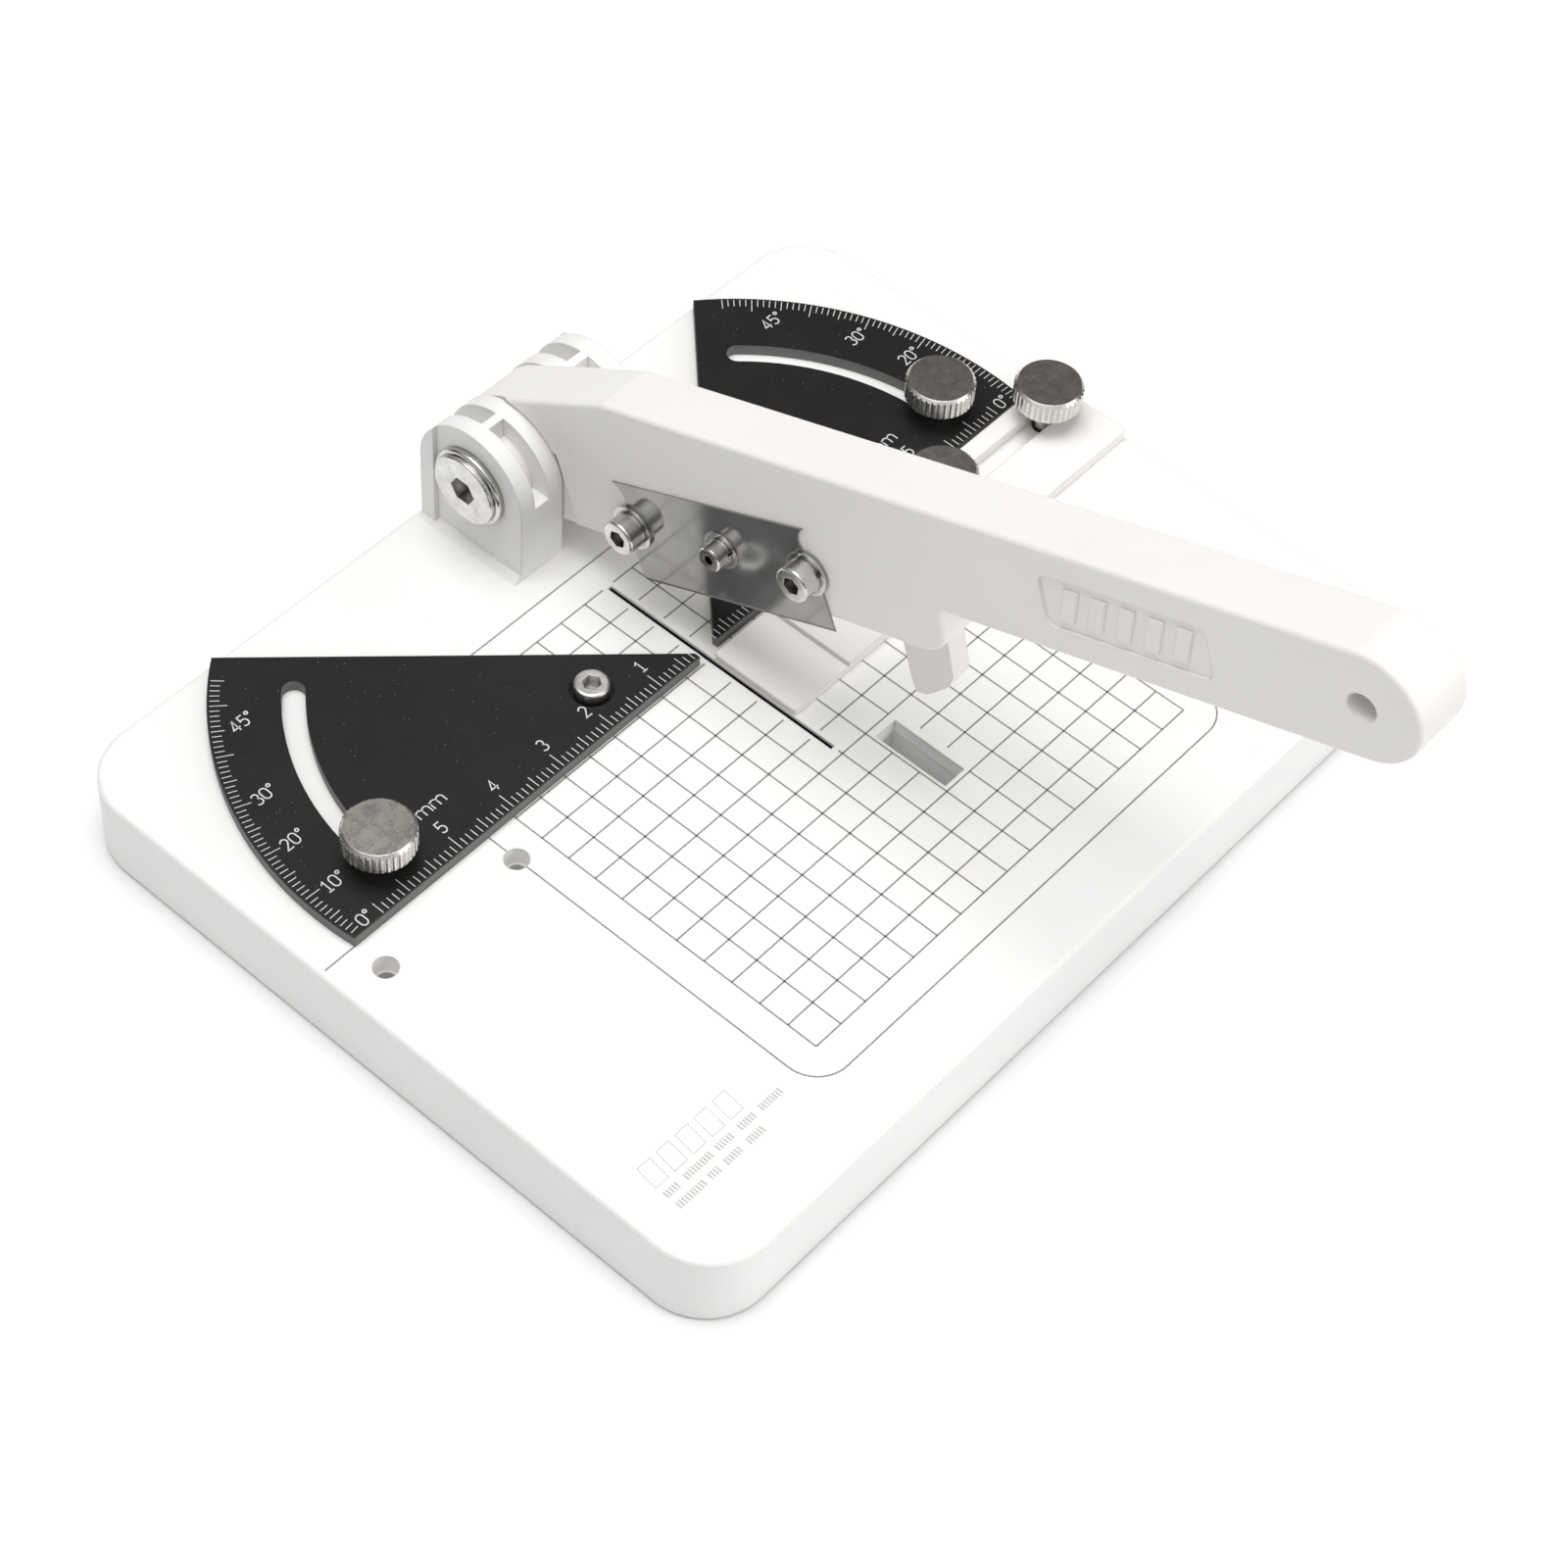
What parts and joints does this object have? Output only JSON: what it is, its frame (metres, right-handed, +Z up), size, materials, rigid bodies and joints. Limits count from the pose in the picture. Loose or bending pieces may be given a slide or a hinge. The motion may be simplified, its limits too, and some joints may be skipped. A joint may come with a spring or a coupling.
{
  "type": "guillotine paper cutter",
  "caption": "Small desktop guillotine paper cutter with a hinged blade arm, two angle plates with printed scales and a sliding stop held by knurled thumbscrews.",
  "frame": {"origin": "middle of the underside, on the bottom of the centre foot", "axes": "+Z up from the table, +Y from the grip end towards the hinge, +X towards the sliding stop"},
  "size_m": [0.154, 0.1577, 0.0949],
  "materials": {
    "base_white": "fine satin texture",
    "cover_white": "fine matte texture",
    "arm_white": "satin",
    "plate_black": "matte black coating with light printed marks",
    "blade_steel": "polished strip with a ground bevel",
    "steel": "bright turned",
    "nickel": "straight knurled rim, scuffed flat top",
    "insert_nickel": "turned, nickel plated",
    "rubber": "matte"
  },
  "bodies": {
    "base": {"base_shell": "base_white", "bottom_cover": "cover_white", "cover_screws": "steel", "rubber_feet": "rubber", "base_inserts": "insert_nickel", "pivot_screws": "steel", "hinge_bolt": "steel", "hinge_barrel_nut": "steel", "hinge_washers": "steel"},
    "arm": {"arm": "arm_white", "arm_inserts": "insert_nickel", "blade": "blade_steel", "blade_end_screws": "steel", "blade_end_washers": "steel", "blade_middle_screw": "steel", "blade_middle_washers": "steel"},
    "left_protractor": {"left_protractor": "plate_black"},
    "right_protractor": {"right_protractor": "plate_black"},
    "slide_stop": {"slide_stop": "arm_white"},
    "left_plate_thumbscrew": {"left_plate_thumbscrew": "nickel"},
    "right_plate_thumbscrew": {"right_plate_thumbscrew": "nickel"},
    "stop_thumbscrew_inner": {"stop_thumbscrew_inner": "nickel"},
    "stop_thumbscrew_outer": {"stop_thumbscrew_outer": "nickel"}
  },
  "joints": [
    {"name": "arm_swing", "type": "hinge", "parent": "base", "child": "arm", "pos_m": [0.0049, 0.0495, 0.0272], "axis": [1, 0, 0], "range_deg": [-75, 22.7]},
    {"name": "left_protractor_turn", "type": "hinge", "parent": "base", "child": "left_protractor", "pos_m": [-0.0171, 0.0173, 0.014], "axis": [0, 0, 1], "range_deg": [0, 45]},
    {"name": "right_protractor_turn", "type": "hinge", "parent": "base", "child": "right_protractor", "pos_m": [0.01745, 0.0176, 0.014], "axis": [0, 0, 1], "range_deg": [-0.3, 0]},
    {"name": "stop_slide", "type": "slide", "parent": "base", "child": "slide_stop", "axis": [1, 0, 0], "range_m": [0, 0.0235]},
    {"name": "left_plate_thumbscrew_turn", "type": "hinge", "parent": "base", "child": "left_plate_thumbscrew", "pos_m": [-0.0588, 0.0173, 0.014], "axis": [0, 0, 1], "range_deg": [0, 360]},
    {"name": "right_plate_thumbscrew_turn", "type": "hinge", "parent": "base", "child": "right_plate_thumbscrew", "pos_m": [0.05915, 0.0173, 0.014], "axis": [0, 0, 1], "range_deg": [0, 360]},
    {"name": "stop_thumbscrew_inner_turn", "type": "hinge", "parent": "base", "child": "stop_thumbscrew_inner", "pos_m": [0.045, 0.005, 0.014], "axis": [0, 0, 1], "range_deg": [0, 360]},
    {"name": "stop_thumbscrew_outer_turn", "type": "hinge", "parent": "base", "child": "stop_thumbscrew_outer", "pos_m": [0.07, 0.005, 0.014], "axis": [0, 0, 1], "range_deg": [0, 360]}
  ]
}
